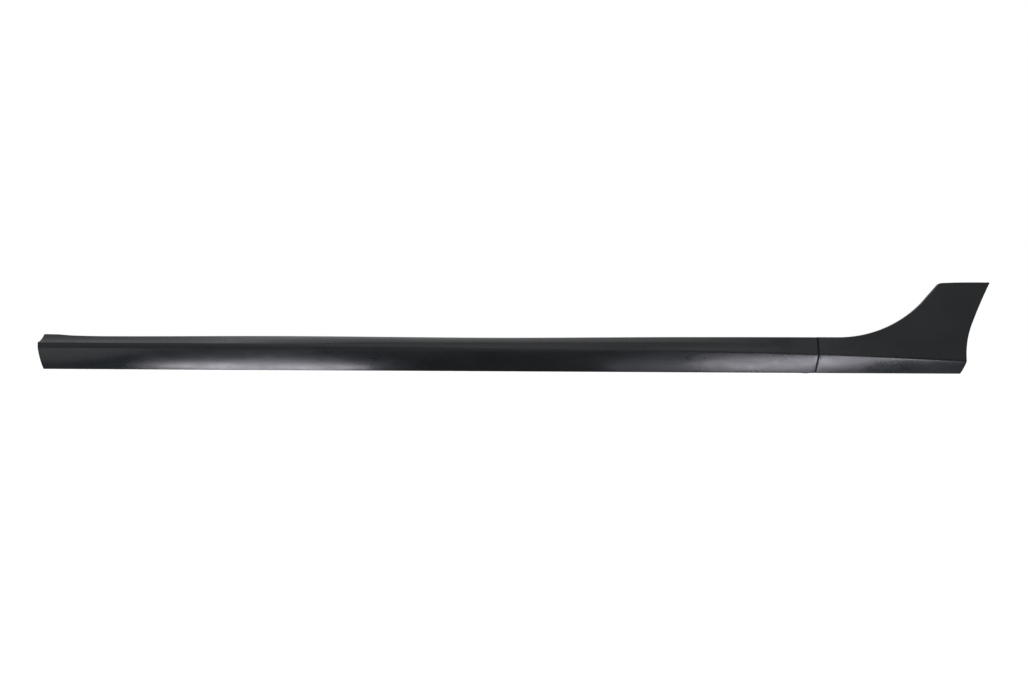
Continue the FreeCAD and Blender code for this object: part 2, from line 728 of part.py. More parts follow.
def main():
    """Build every node."""
    os.makedirs("parts", exist_ok=True)
    sill_clips, arch_clips = all_clips()
    write("sill_moulding", sill_moulding())
    write("rear_arch_moulding", rear_arch_moulding())
    write("top_edge_strip", top_edge_strip())
    write("sill_clips", Part.Compound([clip(*place) for place in sill_clips]))
    write("arch_clips", Part.Compound([clip(*place) for place in arch_clips]))
    write("clip_seals", Part.Compound([clip_seal(*place) for place in sill_clips + arch_clips]))
    write("splice_screws", Part.Compound([splice_screw(place) for place in screw_places(0)]))
    write("arch_spring_nuts", Part.Compound([spring_nut(*frame) for frame in lip_frames()]))


main()
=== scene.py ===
import math

import bpy
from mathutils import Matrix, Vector


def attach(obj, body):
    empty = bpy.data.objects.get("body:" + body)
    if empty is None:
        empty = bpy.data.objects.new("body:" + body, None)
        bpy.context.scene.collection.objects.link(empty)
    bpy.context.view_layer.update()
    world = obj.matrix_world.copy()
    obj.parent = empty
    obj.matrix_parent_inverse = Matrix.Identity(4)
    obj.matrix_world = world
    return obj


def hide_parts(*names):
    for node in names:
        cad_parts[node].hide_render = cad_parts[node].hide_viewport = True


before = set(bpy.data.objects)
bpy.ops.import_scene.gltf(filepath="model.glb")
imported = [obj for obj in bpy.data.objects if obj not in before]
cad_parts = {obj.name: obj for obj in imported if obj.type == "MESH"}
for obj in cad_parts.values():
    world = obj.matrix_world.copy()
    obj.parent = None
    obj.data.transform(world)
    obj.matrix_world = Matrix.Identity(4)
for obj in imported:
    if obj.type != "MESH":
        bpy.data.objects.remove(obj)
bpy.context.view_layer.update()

bpy.ops.object.select_all(action="DESELECT")


# The skin of the sill moulding, the long front piece. It is injection moulded in black
# polypropylene with a 3 mm wall, as one folded sheet: a narrow return at the top, a
# shoulder, a crease, a nose, an undercut band and a bottom flange with a turned-up lip.
wall = 0.003
front_end = -0.999
facet_at = -0.650
roll_at = -0.240
fall_from = 0.250
seam_at = 0.681
rear_end = 0.999
seam_gap = 0.0044
nose_out = 0.071
flange_end = 0.089
flange_lip = 0.007
edge_round = 0.0015
crease_height = 0.057
crease_rise = 0.0012
return_width = 0.015
return_fall = 0.004
column_pitch = 0.010


def along_car(x, knots):
    """Smooth value along the car through (place, value) knots, with no overshoot."""
    if x <= knots[0][0]:
        return knots[0][1]
    if x >= knots[-1][0]:
        return knots[-1][1]
    spans = list(zip(knots, knots[1:]))
    rise = [(b[1] - a[1]) / (b[0] - a[0]) for a, b in spans]
    slope = [0.0] * len(knots)
    for i in range(1, len(knots) - 1):
        if rise[i - 1] * rise[i] > 0:
            slope[i] = 2 * rise[i - 1] * rise[i] / (rise[i - 1] + rise[i])
    i = max(j for j, (a, b) in enumerate(spans) if a[0] <= x)
    (x0, y0), (x1, y1) = spans[i]
    t = (x - x0) / (x1 - x0)
    near = y0 * (1 + 2 * t) * (1 - t) ** 2 + slope[i] * (x1 - x0) * t * (1 - t) ** 2
    far = y1 * t * t * (3 - 2 * t) - slope[i + 1] * (x1 - x0) * t * t * (1 - t)
    return near + far


def nose_height(x):
    """The nose line runs level and then falls faster and faster to the rear."""
    along = max(0.0, (x - fall_from) / (rear_end - fall_from))
    return 0.047 - 0.0192 * along ** 2


def lean(x):
    """Lean of the rear piece's face from upright."""
    return math.radians(along_car(x, ((seam_at, 22.0), (0.820, 16.0), (rear_end, 10.2))))


def face_inboard(x, z):
    """How far inboard of the nose the rear piece's face lies at a height."""
    return (z - nose_height(x)) * math.tan(lean(x))


def corner_inboard(x):
    """Where the undercut band meets the flange."""
    return along_car(x, ((seam_at, 0.041), (rear_end, 0.047)))


def top_edge(x):
    """The sill piece's upper edge in its section."""
    height = along_car(x, ((front_end, 0.0748), (-0.869, 0.0724), (-0.450, 0.0747),
                           (-0.060, 0.0735), (0.400, 0.0772), (seam_at, 0.0783)))
    depth = along_car(x, ((front_end, 0.0425), (facet_at, 0.032), (roll_at, 0.019),
                          (seam_at, face_inboard(seam_at, 0.0783))))
    return Vector((depth, height))


def sill_outline(x):
    """Corners of the sill section from the upper edge to the flange's end, how far
    each run between them bows, and how far each corner is rounded."""
    crease_in = along_car(x, ((roll_at, 0.0006), (seam_at, face_inboard(seam_at, crease_height))))
    crease_up = along_car(x, ((facet_at, crease_height + crease_rise), (roll_at, crease_height)))
    shoulder = along_car(x, ((front_end, -14.0), (facet_at, 0.0), (roll_at, 23.0), (0.0, 23.0),
                             (seam_at, 0.0)))
    band = along_car(x, ((front_end, 14.0), (0.0, 8.0), (seam_at, 6.0)))
    crease_round = along_car(x, ((front_end, 0.0008), (facet_at, 0.0012), (roll_at, 0.0046)))
    nose_round = along_car(x, ((fall_from, 0.0036), (seam_at, edge_round)))
    corners = [top_edge(x), Vector((crease_in, crease_up)), Vector((0.0, nose_height(x))),
               Vector((corner_inboard(x), 0.0)), Vector((flange_end, 0.0))]
    return corners, [shoulder, 0.0, band, 0.0], [0.0, crease_round, nose_round, edge_round, 0.0]


def whole_sill_outline(x):
    """The sill section with its upper return in front and its lip behind."""
    corners, bows, rounds = sill_outline(x)
    upper_return = top_edge(x) + Vector((return_width, -return_fall))
    corners = [upper_return] + corners + [Vector((flange_end, flange_lip))]
    rounds = [0.0, edge_round] + rounds[1:-1] + [wall + edge_round, 0.0]
    return corners, [0.0] + bows + [0.0], rounds


def turned(direction, degrees):
    """A section direction turned anticlockwise."""
    a = math.radians(degrees)
    u, z = direction
    return Vector((u * math.cos(a) - z * math.sin(a), u * math.sin(a) + z * math.cos(a)))


def section(outline, depth, steps, round_steps=5):
    """Points of a section line at a depth below the outer face."""
    corners, bows, rounds = outline
    chords = [(b - a).normalized() for a, b in zip(corners, corners[1:])]
    starts = [turned(chord, -bow) for chord, bow in zip(chords, bows)]
    ends = [turned(chord, bow) for chord, bow in zip(chords, bows)]
    inward_start = [Vector((-s[1], s[0])) for s in starts]
    inward_end = [Vector((-e[1], e[0])) for e in ends]
    points = [corners[0] + inward_start[0] * depth]
    for i in range(1, len(corners) - 1):
        a, b = inward_end[i - 1], inward_start[i]
        points.append(corners[i] + (a + b) * depth / (1 + a.dot(b)))
    points.append(corners[-1] + inward_end[-1] * depth)
    trims = rounds if depth == 0 else [0.0] * len(corners)
    line = []
    for i in range(len(points) - 1):
        a = points[i] + starts[i] * trims[i]
        d = points[i + 1] - ends[i] * trims[i + 1]
        reach = (d - a).length / 3
        b = a + starts[i] * reach
        c = d - ends[i] * reach
        first = 0 if i == 0 or trims[i] > 0 else 1
        for k in range(first, steps[i] + 1):
            t = k / steps[i]
            line.append(a * (1 - t) ** 3 + b * 3 * t * (1 - t) ** 2
                        + c * 3 * t * t * (1 - t) + d * t ** 3)
        if trims[i + 1] > 0:
            e = points[i + 1] + starts[i + 1] * trims[i + 1]
            for k in range(1, round_steps):
                t = k / round_steps
                line.append(d * (1 - t) ** 2 + points[i + 1] * 2 * t * (1 - t) + e * t * t)
    return line


def spread(start, end, pitch):
    """Even places from start to end, about a pitch apart."""
    count = max(1, round((end - start) / pitch))
    return [start + (end - start) * i / count for i in range(count + 1)]


def bent_sheet(name, lines):
    """A flat grid bent so that its rows follow the given lines of points."""
    across = len(lines) - 1
    up = len(lines[0]) - 1
    bpy.ops.mesh.primitive_grid_add(x_subdivisions=across, y_subdivisions=up, size=1)
    sheet = bpy.context.object
    sheet.name = name
    for corner in sheet.data.vertices:
        i = round((corner.co.x + 0.5) * across)
        j = round((corner.co.y + 0.5) * up)
        corner.co = lines[i][j]
    sheet.select_set(False)
    return sheet


def placed(x, point):
    """A section point's place in the frame."""
    return Vector((x, point[0] - nose_out, point[1]))


def finished(piece, modifiers):
    """Add modifiers to a piece and apply them."""
    bpy.context.view_layer.objects.active = piece
    piece.select_set(True)
    for kind, values in modifiers:
        modifier = piece.modifiers.new(kind.title(), kind)
        for key, value in values.items():
            setattr(modifier, key, value)
        bpy.ops.object.modifier_apply(modifier=modifier.name)
    piece.select_set(False)


def thickened(thickness, offset=-1.0):
    """Solidify settings for a moulded wall."""
    return ("SOLIDIFY", {"thickness": thickness, "offset": offset, "use_even_offset": True,
                         "use_quality_normals": True})


def eased(width, segments=2, degrees=50):
    """Bevel settings that break sharp edges."""
    return ("BEVEL", {"width": width, "segments": segments, "limit_method": "ANGLE",
                      "angle_limit": math.radians(degrees), "harden_normals": False})


def smoothed(piece, degrees=32):
    """Smooth shading up to an angle."""
    piece.select_set(True)
    bpy.context.view_layer.objects.active = piece
    bpy.ops.object.shade_smooth_by_angle(angle=math.radians(degrees))
    piece.select_set(False)


def joined(name, pieces):
    """One object out of one or several."""
    whole = pieces[0]
    for piece in pieces:
        piece.select_set(True)
    bpy.context.view_layer.objects.active = whole
    if len(pieces) > 1:
        bpy.ops.object.join()
    whole.name = name
    whole.select_set(False)
    return whole


def drilled(piece, holes):
    """Cut round holes, each given by place, direction, radius and length."""
    drills = []
    for place, direction, radius, length in holes:
        bpy.ops.mesh.primitive_cylinder_add(vertices=32, radius=radius, depth=length, location=place,
                                            rotation=direction.to_track_quat("Z", "Y").to_euler())
        drills.append(bpy.context.object)
    bpy.ops.object.select_all(action="DESELECT")
    drill = joined("drill", drills)
    finished(piece, [("BOOLEAN", {"object": drill, "operation": "DIFFERENCE", "solver": "EXACT"})])
    bpy.data.objects.remove(drill, do_unlink=True)


sill_steps = [3, 14, 3, 16, 7, 2]
sill_end = seam_at - seam_gap / 2
lines = []
for x in spread(front_end, sill_end, column_pitch):
    line = section(whole_sill_outline(x), 0, sill_steps)
    lines.append([placed(x, point) for point in reversed(line)])
sill_skin = bent_sheet("sill_skin", lines)
finished(sill_skin, [thickened(wall), eased(0.0010, 3)])
hole_radius = 0.0033
hole_pitch = 0.280
drill_length = 0.02
hole_row = [side * (i + 0.5) * hole_pitch for i in range(4) for side in (-1, 1)]
drilled(sill_skin, [(Vector((x, 0, wall / 2)), Vector((0, 0, 1)), hole_radius, drill_length)
                    for x in hole_row if x < sill_end])


# The ribs, clip towers, end wall and front pad of the sill moulding. They are moulded in
# one with the skin: cross ribs stiffen the folds, six towers hold the clips, and the
# end wall takes two screws of the front wheel arch's liner.
rib_thickness = 0.002
rib_reach = 0.011
rib_pitch = 0.170
rib_top = 0.066
lap = 0.030
spare = 0.001
clip_row = [-0.870 + i * 0.290 for i in range(6)]
clip_height = 0.044
tower_face = 0.052
tower_width = 0.030
tower_height = 0.025
tower_plate = 0.0025
clip_neck = 0.006
clip_clearance = 0.0002


def plate(name, profile, direction):
    """A flat plate: a disc pulled into the profile's shape and extruded."""
    bpy.ops.mesh.primitive_circle_add(vertices=len(profile), radius=1, fill_type="NGON")
    flat = bpy.context.object
    flat.name = name
    for corner, place in zip(flat.data.vertices, profile):
        corner.co = place
    bpy.ops.object.mode_set(mode="EDIT")
    bpy.ops.mesh.select_all(action="SELECT")
    bpy.ops.mesh.extrude_region_move(TRANSFORM_OT_translate={"value": direction})
    bpy.ops.mesh.select_all(action="SELECT")
    bpy.ops.mesh.normals_make_consistent(inside=False)
    bpy.ops.object.mode_set(mode="OBJECT")
    flat.select_set(False)
    return flat


def below(line, height):
    """The part of a section line under a height, cut off level."""
    kept = []
    for a, b in zip(line, line[1:]):
        if a[1] > height >= b[1]:
            t = (a[1] - height) / (a[1] - b[1])
            kept.append(a.lerp(b, t))
        if b[1] <= height:
            kept.append(b)
    if line[0][1] <= height:
        kept.insert(0, line[0])
    return kept


def above(line, height):
    """The part of a section line over a height, down to the first crossing."""
    kept = [line[0]]
    for a, b in zip(line, line[1:]):
        if b[1] >= height:
            kept.append(b)
        else:
            kept.append(a.lerp(b, (a[1] - height) / (a[1] - b[1])))
            break
    return kept


def rib(outline, x, top, reach, steps):
    """Rib that follows the inside of the skin at one place along the car."""
    outer = below(section(outline, wall / 2, steps), top)
    inner = below(section(outline, reach, steps), top)
    profile = [placed(x - rib_thickness / 2, p) for p in outer + inner[::-1]]
    piece = plate("rib", profile, (rib_thickness, 0, 0))
    finished(piece, [eased(0.0003, 1)])
    return piece


def rib_places(first, last, pitch, skipped):
    """Even rib places, left out beside towers and holes."""
    count = int((last - first) / pitch)
    start = (first + last - count * pitch) / 2
    row = [start + i * pitch for i in range(count + 1)]
    return [x for x in row if all(abs(x - place) > clear for place, clear in skipped)]


def slab(name, lowest, highest, ease=0.0003):
    """Box between two corners, given as place along, inboard and height."""
    low = placed(lowest[0], lowest[1:])
    high = placed(highest[0], highest[1:])
    bpy.ops.mesh.primitive_cube_add(size=1, location=(low + high) / 2, scale=high - low)
    box = bpy.context.object
    box.name = name
    bpy.ops.object.transform_apply(location=True, rotation=True, scale=True)
    box.select_set(False)
    if ease:
        finished(box, [eased(ease, 1)])
    return box


def tower(outline, x, z, face, steps):
    """Open-topped box for a clip: two cheeks, a floor and a plate with a slot."""
    low = z - tower_height / 2
    high = z + tower_height / 2
    half = tower_width / 2
    line = section(outline, wall / 2, steps)
    front = above(below(line, high), low)
    floor_front = above(below(line, low + rib_thickness), low)
    cheek = front + [Vector((face, low)), Vector((face, high))]
    floor = floor_front + [Vector((face, low)), Vector((face, low + rib_thickness))]
    pieces = []
    for start in (x - half, x + half - rib_thickness):
        pieces.append(plate("cheek", [placed(start, p) for p in cheek], (rib_thickness, 0, 0)))
    pieces.append(plate("floor", [placed(x - half, p) for p in floor], (tower_width, 0, 0)))
    slot = clip_neck / 2 + clip_clearance
    outline_of_plate = [(x - half, low), (x + half, low), (x + half, high), (x + slot, high),
                        (x + slot, z - slot), (x - slot, z - slot), (x - slot, high), (x - half, high)]
    pieces.append(plate("slotted", [placed(u, (face, v)) for u, v in outline_of_plate],
                        (0, -tower_plate, 0)))
    for piece in pieces:
        finished(piece, [eased(0.0003, 1)])
    return pieces


inner_steps = [14, 3, 16, 7]
rib_end = sill_end - lap - wall
beside_tower = tower_width / 2 + 2 * rib_thickness
skipped = [(x, beside_tower) for x in clip_row] + [(x, 2 * hole_radius) for x in hole_row]
backing = [rib(sill_outline(x), x, rib_top, rib_reach, inner_steps)
           for x in rib_places(front_end + 0.045, rib_end, rib_pitch, skipped)]
for x in clip_row:
    backing += tower(sill_outline(x), x, clip_height, tower_face, inner_steps)

end_wall_in = 0.062
end_wall_top = 0.074
end_holes = ((0.040, 0.022), (0.040, 0.052))
inside = section(sill_outline(front_end), wall / 2, inner_steps)
inside = [p for p in inside if p[0] < end_wall_in and p[1] < end_wall_top]
profile = inside + [Vector((end_wall_in, inside[-1][1])), Vector((end_wall_in, inside[0][1]))]
end_wall = plate("end_wall", [placed(front_end + spare, p) for p in profile], (wall, 0, 0))
finished(end_wall, [eased(0.0004)])
drilled(end_wall, [(placed(front_end, hole), Vector((1, 0, 0)), hole_radius, drill_length)
                   for hole in end_holes])
depth, height = top_edge(front_end)
pad_end = front_end + 0.060
pad_middle = front_end + 0.030
pad_width = 0.0065
pad_rise = 0.0012
profile = [(front_end, height - wall), (pad_end, height - wall),
           (pad_end, top_edge(pad_end)[1] - 0.0004),
           (pad_middle, height + 0.0008), (front_end, height + pad_rise)]
front_pad = plate("front_pad", [placed(x, (depth + edge_round, z)) for x, z in profile],
                  (0, pad_width, 0))
finished(front_pad, [eased(0.0006)])
sill_moulding = joined("sill_moulding_piece", [sill_skin, end_wall, front_pad] + backing)
smoothed(sill_moulding)
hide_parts("sill_moulding")
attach(sill_moulding, "root")


# The rear moulding: the same plastic and wall, moulded on its own. Its face sweeps up into
# a fin in front of the wheel arch, all its edges are turned inboard, and the edge along
# the arch is deeper and drilled for the liner's screws.
rear_start = seam_at + seam_gap / 2
top_seam = 0.0783
above_nose = 0.006
sweep_from = 0.727
sweep_radius = 0.259
sweep_turn = 43.2
upsweep_radius = 0.142
upsweep_turn = 4.7
fin_front_height = 0.1974
fin_height = 0.1988
fin_crown = 0.0008
fin_corner = 0.014
arch_foot = 0.035
arch_radius = 0.185
arch_turn = math.radians(23)
arch_upper_radius = 1.1
edge_return = 0.012
arch_lip = 0.024
lip_top = 0.184
liner_holes = (0.052, 0.104, 0.156)
liner_hole_in = 0.015
liner_hole_radius = 0.003
arch_knee = arch_foot + arch_radius * math.sin(arch_turn)


def arch_edge(z):
    """Where the wheel arch edge runs at a height, and its angle from upright."""
    if z <= arch_knee:
        angle = math.asin(max(0.0, z - arch_foot) / arch_radius)
        return rear_end + arch_radius * (1 - math.cos(angle)), angle
    angle = math.asin(math.sin(arch_turn) + (z - arch_knee) / arch_upper_radius)
    x = rear_end + arch_radius * (1 - math.cos(arch_turn))
    return x + arch_upper_radius * (math.cos(arch_turn) - math.cos(angle)), angle


def liner_hole(z):
    """Middle of an arch lip hole within the lip's wall, and the direction square to it."""
    x, angle = arch_edge(z)
    normal = Vector((math.cos(angle), 0, -math.sin(angle)))
    return placed(x, (face_inboard(x, z) + liner_hole_in, z)) - normal * (wall / 2), normal


def sweep_point(degrees):
    """Side-view point of the fin's leading edge where it has turned by an angle."""
    angle = math.radians(degrees)
    turn = math.radians(min(degrees, sweep_turn))
    x = sweep_from + sweep_radius * math.sin(turn) + upsweep_radius * (math.sin(angle) - math.sin(turn))
    z = top_seam + sweep_radius * (1 - math.cos(turn)) + upsweep_radius * (math.cos(turn) - math.cos(angle))
    return Vector((x, z))


def leading_edge():
    """Side-view points up the leading edge and round the fin's front corner."""
    steepest = sweep_turn + upsweep_turn
    row = [sweep_point(sweep_turn * i / 16) for i in range(16)]
    row += [sweep_point(sweep_turn + upsweep_turn * i / 3) for i in range(4)]
    bend = row[-1]
    slope = math.radians(steepest)
    peak = Vector((bend[0] + (fin_front_height - bend[1]) / math.tan(slope), fin_front_height))
    tip = Vector((arch_edge(fin_height)[0], fin_height))
    a = (bend - peak).normalized()
    b = (tip - peak).normalized()
    trim = fin_corner / math.tan(a.angle(b) / 2)
    start, end = peak + a * trim, peak + b * trim
    count = max(1, round((start - bend).length / 0.008))
    row += [bend.lerp(start, i / count) for i in range(1, count + 1)]
    middle = (a + b).normalized()
    hub = peak + middle * (fin_corner / math.sin(a.angle(b) / 2))
    first = math.atan2(start[1] - hub[1], start[0] - hub[0])
    last = math.atan2(end[1] - hub[1], end[0] - hub[0])
    for i in range(1, 9):
        angle = first + (last - first) * i / 8
        row.append(hub + Vector((math.cos(angle), math.sin(angle))) * fin_corner)
    return row, tip


def face_point(x, z):
    """Point of the rear piece's face."""
    return placed(x, (face_inboard(x, z), z))


def band_bow(x):
    """How far the rear piece's band bows between its nose and its foot."""
    return along_car(x, ((seam_at, 6.0), (rear_end, 7.5)))


def rear_outline(x):
    """The rear piece's section below its face: nose, band, flange and lip."""
    top = nose_height(x) + above_nose
    corners = [Vector((face_inboard(x, top), top)), Vector((0.0, nose_height(x))),
               Vector((corner_inboard(x), 0.0)), Vector((flange_end, 0.0)),
               Vector((flange_end, flange_lip))]
    nose_round = along_car(x, ((seam_at, edge_round), (rear_end, 0.0032)))
    return corners, [0, band_bow(x), 0, 0], [0, nose_round, edge_round, wall + edge_round, 0]


front_columns = 5
fin_columns = 32
low_rows = 6
low_steps = [2, 12, 7, 2]
lines = []
for i in range(front_columns + fin_columns + 1):
    if i <= front_columns:
        share = 0.0
        front = rear_start + (sweep_from - rear_start) * i / front_columns
    else:
        share = (i - front_columns) / fin_columns
        front = sweep_from
    x = front + (rear_end - front) * share
    column = [placed(x, p) for p in reversed(section(rear_outline(x), 0, low_steps))]
    for k in range(1, low_rows + 1):
        f = k / low_rows
        z_end = 0.05
        for turn in range(20):
            x_end = arch_edge(z_end)[0]
            low = nose_height(x_end) + above_nose
            z_end = low + (top_seam - low) * f
        x = front + (arch_edge(z_end)[0] - front) * share
        low = nose_height(x) + above_nose
        column.append(face_point(x, low + (top_seam - low) * f))
    lines.append(column)
lower = bent_sheet("lower", lines)

edge_row, tip = leading_edge()
crest = edge_row[-1]
lines = []
for i in range(fin_columns + 1):
    share = i / fin_columns
    column = []
    for lead in edge_row:
        rise = (lead[1] - top_seam) / (crest[1] - top_seam)
        z_end = lead[1] + (fin_height - crest[1]) * rise
        x_end = arch_edge(z_end)[0]
        x = lead[0] + (x_end - lead[0]) * share
        z = lead[1] + (z_end - lead[1]) * share
        z += fin_crown * 4 * share * (1 - share) * rise ** 6
        column.append(face_point(x, z))
    lines.append(column)
upper = bent_sheet("upper", lines)
rear_skin = joined("rear_skin", [lower, upper])
rear_skin.select_set(True)
bpy.context.view_layer.objects.active = rear_skin
bpy.ops.object.mode_set(mode="EDIT")
bpy.ops.mesh.select_all(action="SELECT")
bpy.ops.mesh.remove_doubles(threshold=0.00002)
bpy.ops.mesh.select_all(action="DESELECT")
bpy.ops.mesh.select_mode(type="EDGE")
bpy.ops.mesh.select_non_manifold(extend=False, use_wire=False, use_boundary=True,
                                 use_multi_face=False, use_non_contiguous=False, use_verts=False)
bpy.ops.object.mode_set(mode="OBJECT")
mesh = rear_skin.data
turned_in = []
for edge in mesh.edges:
    ends = [mesh.vertices[v].co for v in edge.vertices]
    at_seam = all(p.x < rear_start + 0.0001 for p in ends)
    on_face = all(p.z > nose_height(p.x) + 0.0012 for p in ends)
    if edge.select and on_face and not at_seam:
        turned_in.append(edge.index)
for part in (mesh.vertices, mesh.edges, mesh.polygons):
    part.foreach_set("select", [False] * len(part))
for index in turned_in:
    mesh.edges[index].select = True
    for v in mesh.edges[index].vertices:
        mesh.vertices[v].select = True
bpy.ops.object.mode_set(mode="EDIT")
bpy.ops.mesh.extrude_edges_move(TRANSFORM_OT_translate={"value": (0, edge_return, 0)})
bpy.ops.object.mode_set(mode="OBJECT")
for vertex in mesh.vertices:
    if vertex.select:
        x, y, z = vertex.co
        on_arch = x > rear_end - 0.0005 and x > arch_edge(z)[0] - 0.0005
        lip_share = min(1.0, max(0.0, (lip_top - z) / 0.004)) if on_arch else 0.0
        reach = edge_return + (arch_lip - edge_return) * lip_share
        vertex.co.y += reach / math.cos(lean(x)) - edge_return
rear_skin.select_set(False)
finished(rear_skin, [thickened(wall), eased(0.0008, 3)])
holes = [(Vector((x, 0, wall / 2)), Vector((0, 0, 1)), hole_radius, drill_length)
         for x in hole_row if x > rear_start]
for z in liner_holes:
    middle, normal = liner_hole(z)
    holes.append((middle, normal, liner_hole_radius, 4 * wall))
drilled(rear_skin, holes)


def bisected(piece, place, normal):
    """Cut away what lies beyond a plane and close the cut."""
    piece.select_set(True)
    bpy.context.view_layer.objects.active = piece
    bpy.ops.object.mode_set(mode="EDIT")
    bpy.ops.mesh.select_all(action="SELECT")
    bpy.ops.mesh.bisect(plane_co=place, plane_no=normal, use_fill=True, clear_outer=True)
    bpy.ops.object.mode_set(mode="OBJECT")
    piece.select_set(False)


def fin_outline(x):
    """The rear section without its lip, carried on above the fin."""
    above_fin = 0.2108
    corners = [Vector((face_inboard(x, above_fin), above_fin)), Vector((0.0, nose_height(x))),
               Vector((corner_inboard(x), 0.0)), Vector((flange_end, 0.0))]
    return corners, [0, band_bow(x), 0], [0, edge_round, edge_round, 0]


def fin_top(x):
    """Height of the rear piece's upper edge."""
    row = [Vector((rear_start, top_seam))] + edge_row + [tip]
    for a, b in zip(row, row[1:]):
        if a[0] <= x <= b[0]:
            return a[1] + (b[1] - a[1]) * (x - a[0]) / (b[0] - a[0])
    return fin_height


def arch_height(x):
    """Height at which the arch edge passes a place behind its foot."""
    low, high = arch_foot, fin_height
    for turn in range(30):
        middle = (low + high) / 2
        if arch_edge(middle)[0] < x:
            low = middle
        else:
            high = middle
    return low


rear_steps = [8, 8, 5]
fin_rib_reach = 0.0075
fin_rib_pitch = 0.072
fin_bars = (0.076, 0.118, 0.166)
fin_clips = [(0.846, 0.062), (0.990, 0.150)]
fin_tower_face = 0.042
fin_end = arch_edge(fin_height)[0] + 0.012
skipped = [(x, tower_width / 2 + rib_thickness) for x, z in fin_clips]
backing = []
for x in rib_places(rear_start + lap, fin_end - lap, fin_rib_pitch, skipped):
    top = fin_top(x) - wall / 2
    if x < rear_end:
        backing.append(rib(fin_outline(x), x, top, fin_rib_reach, rear_steps))
    else:
        low = arch_height(x) + wall / 2
        near = wall / 2 / math.cos(lean(x))
        far = fin_rib_reach / math.cos(lean(x))
        profile = [(face_inboard(x, top) + near, top), (face_inboard(x, low) + near, low),
                   (face_inboard(x, low) + far, low), (face_inboard(x, top) + far, top)]
        backing.append(plate("rib", [placed(x - rib_thickness / 2, p) for p in profile],
                             (rib_thickness, 0, 0)))
for z in fin_bars:
    row = [Vector((rear_start + 0.004, top_seam))] + edge_row
    first = next(a[0] for a, b in zip(row, row[1:]) if b[1] > z + wall)
    stops = spread(first + wall / 2, arch_edge(z)[0] - wall / 2, 0.02)
    near = [placed(x, (face_inboard(x, z) + wall / 2, z - rib_thickness / 2)) for x in stops]
    far = [placed(x, (face_inboard(x, z) + fin_rib_reach, z - rib_thickness / 2)) for x in stops]
    backing.append(plate("bar", near + far[::-1], (0, 0, rib_thickness)))
for x, z in fin_clips:
    backing += tower(fin_outline(x), x, z, fin_tower_face, rear_steps)
corners, bows, rounds = rear_outline(rear_end)
ring_outline = (corners[:-1], bows[:-1], [0, edge_round, edge_round, 0])
outer = section(ring_outline, wall / 2, [2, 12, 7])
inner = section(ring_outline, edge_return, [2, 12, 7])
backing.append(plate("end_ring", [placed(rear_end - wall, p) for p in outer + inner[::-1]],
                     (wall - 0.0002, 0, 0)))

lap_depth = wall + 0.0003
joggle = 0.004
tongue_top = top_seam - 3 * wall


def behind_skin(name, columns, depth):
    """A sheet that follows the sill section at a depth below its outer face."""
    lines = []
    for x in columns:
        line = section(sill_outline(x), depth, inner_steps)
        lines.append([placed(x, point) for point in reversed(line)])
    return bent_sheet(name, lines)


tongue = behind_skin("tongue", spread(seam_at - lap, rear_start + joggle, 0.005), lap_depth)
finished(tongue, [thickened(wall)])
bisected(tongue, (0, 0, tongue_top), (0, 0, 1))
bisected(tongue, (0, flange_end - lap_depth - nose_out, 0), (0, 1, 0))
step = behind_skin("step", spread(rear_start, rear_start + joggle, 0.002), wall / 2)
finished(step, [thickened(lap_depth)])
stop_foot = tongue_top - wall
stop_top = top_seam - 0.0002
stop_front = [(face_inboard(seam_at, z) + lap_depth, z) for z in (stop_foot, stop_top)]
stop_back = [(face_inboard(seam_at, z) + lap_depth + wall, z) for z in (stop_top, stop_foot)]
backing.append(plate("stop", [placed(sill_end + 0.0001, p) for p in stop_front + stop_back],
                     (seam_gap + joggle / 2, 0, 0)))
screw_at = 0.6648
screw_row = [placed(screw_at, (inboard, 0)) for inboard in (0.058, 0.078)]
screw_radius = 0.0021
boss_height = 0.0055
boss_radius = 0.0045
for screw in screw_row:
    boss_middle = lap_depth + wall - spare + boss_height / 2
    bpy.ops.mesh.primitive_cylinder_add(vertices=32, radius=boss_radius, depth=boss_height,
                                        location=screw + Vector((0, 0, boss_middle)))
    boss = bpy.context.object
    bpy.ops.object.transform_apply(location=True, rotation=True, scale=True)
    boss.select_set(False)
    finished(boss, [eased(0.0004)])
    backing.append(boss)
rear_moulding = joined("rear_arch_moulding_piece", [rear_skin, tongue, step] + backing)
smoothed(rear_moulding)
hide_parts("rear_arch_moulding")
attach(rear_moulding, "root")


# The plastic of both mouldings: black polypropylene with a satin skin and a shallow grain,
# clouds of gloss where the melt flowed along the mould, and a few rub marks. Inside the
# seam it is set matt, so that the gap reads as dark as in the photo.
def made_material(name, colour, roughness):
    """A material with a Principled shader, and its nodes, links and object coordinates."""
    material = bpy.data.materials.new(name)
    material.use_nodes = True
    nodes = material.node_tree.nodes
    links = material.node_tree.links
    shader = nodes["Principled BSDF"]
    shader.inputs["Base Color"].default_value = (*colour, 1)
    shader.inputs["Roughness"].default_value = roughness
    place = nodes.new("ShaderNodeTexCoord")
    return material, nodes, links, shader, place


def noise(nodes, links, place, scale, detail, stretch=(1, 1, 1)):
    """A noise pattern on object coordinates, stretched by a mapping."""
    mapping = nodes.new("ShaderNodeMapping")
    mapping.inputs["Scale"].default_value = stretch
    links.new(place.outputs["Object"], mapping.inputs["Vector"])
    pattern = nodes.new("ShaderNodeTexNoise")
    pattern.inputs["Scale"].default_value = scale
    pattern.inputs["Detail"].default_value = detail
    links.new(mapping.outputs["Vector"], pattern.inputs["Vector"])
    return pattern.outputs["Fac"]


def ranged(nodes, links, source, low, high, out_low, out_high):
    """A value taken from one range to another."""
    span = nodes.new("ShaderNodeMapRange")
    span.inputs["From Min"].default_value = low
    span.inputs["From Max"].default_value = high
    span.inputs["To Min"].default_value = out_low
    span.inputs["To Max"].default_value = out_high
    links.new(source, span.inputs["Value"])
    return span.outputs["Result"]


